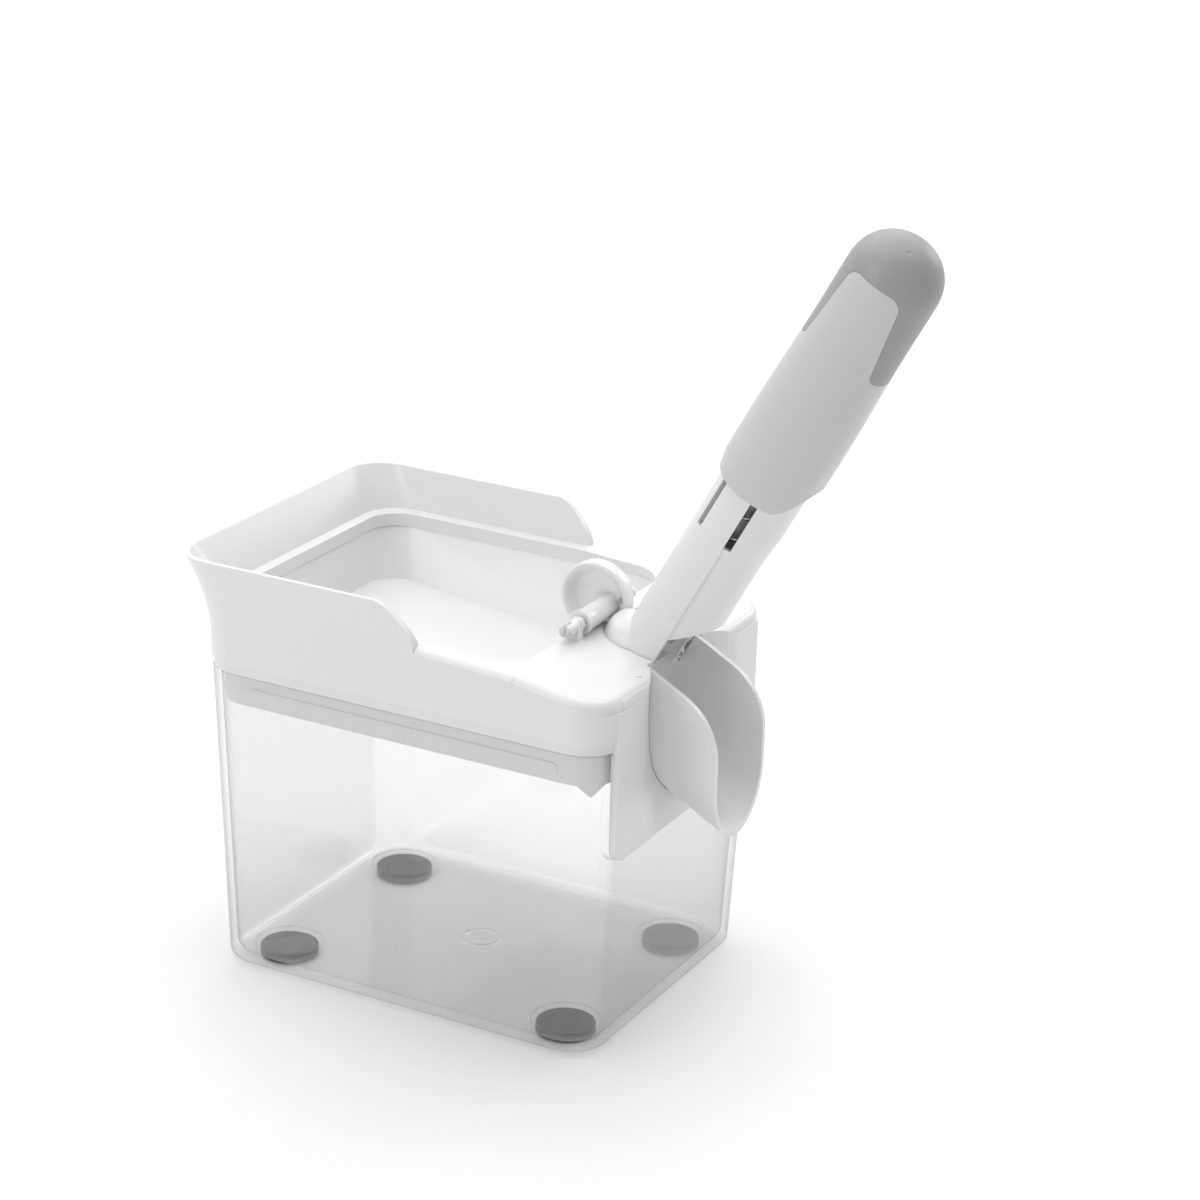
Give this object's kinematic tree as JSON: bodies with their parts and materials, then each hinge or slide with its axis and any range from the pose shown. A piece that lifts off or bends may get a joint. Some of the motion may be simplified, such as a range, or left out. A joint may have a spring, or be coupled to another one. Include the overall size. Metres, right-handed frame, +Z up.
{
  "type": "cherry pitter",
  "caption": "Hand-pressed cherry pitter: hopper with a flared lip over a clear stone container, with a leaning sprung plunger and a chute.",
  "frame": {"origin": "bottom centre of the whole part's bounding box, on the surface it stands on", "axes": "+X along the length towards the chute, +Z up; the flat side wall with the long run of the lip faces -Y"},
  "size_m": [0.2452, 0.1262, 0.281],
  "materials": {
    "clear_plastic": "clear, glossy",
    "pad_rubber": "fine texture, matt",
    "white_plastic": "satin gloss",
    "pale_plastic": "satin gloss",
    "grey_plastic": "soft matt",
    "milky_plastic": "milky, glossy",
    "seat_rubber": "smooth",
    "steel": "plain"
  },
  "bodies": {
    "base": {"container": "clear_plastic", "foot_pads": "pad_rubber"},
    "head": {"hopper_shell": "white_plastic", "hopper_tray": "white_plastic", "chute": "white_plastic", "pit_seat": "seat_rubber", "seat_ring": "pale_plastic", "guide_tube": "white_plastic", "rod_bush": "pale_plastic", "stripper_plate": "white_plastic", "feed_axle": "milky_plastic", "axle_clip": "milky_plastic", "spring_washer": "steel", "return_spring": "steel"},
    "plunger": {"handle_sleeve": "pale_plastic", "handle_cap": "grey_plastic", "plunger_rod": "white_plastic", "pitting_punch": "steel", "rod_pin": "steel", "spring_cup": "steel"},
    "feeder": {"feed_disc": "milky_plastic", "feed_crank": "milky_plastic"}
  },
  "joints": [
    {"name": "head_lift", "type": "slide", "parent": "base", "child": "head", "axis": [0, 0, 1], "range_m": [0, 0.12]},
    {"name": "plunger_slide", "type": "slide", "parent": "head", "child": "plunger", "axis": [-0.4772, 0, -0.8788], "range_m": [0, 0.046], "stiffness_N_per_m": 150, "springref_m": -0.04, "deforming": ["return_spring"]},
    {"name": "feed_hinge", "type": "hinge", "parent": "head", "child": "feeder", "pos_m": [0.00937, 0, 0.1371], "axis": [0, -1, 0], "range_deg": [0, 40]}
  ],
  "couplings": [
    {"joint": "feed_hinge", "follows": "plunger_slide", "rad_per_m": 15.1}
  ]
}
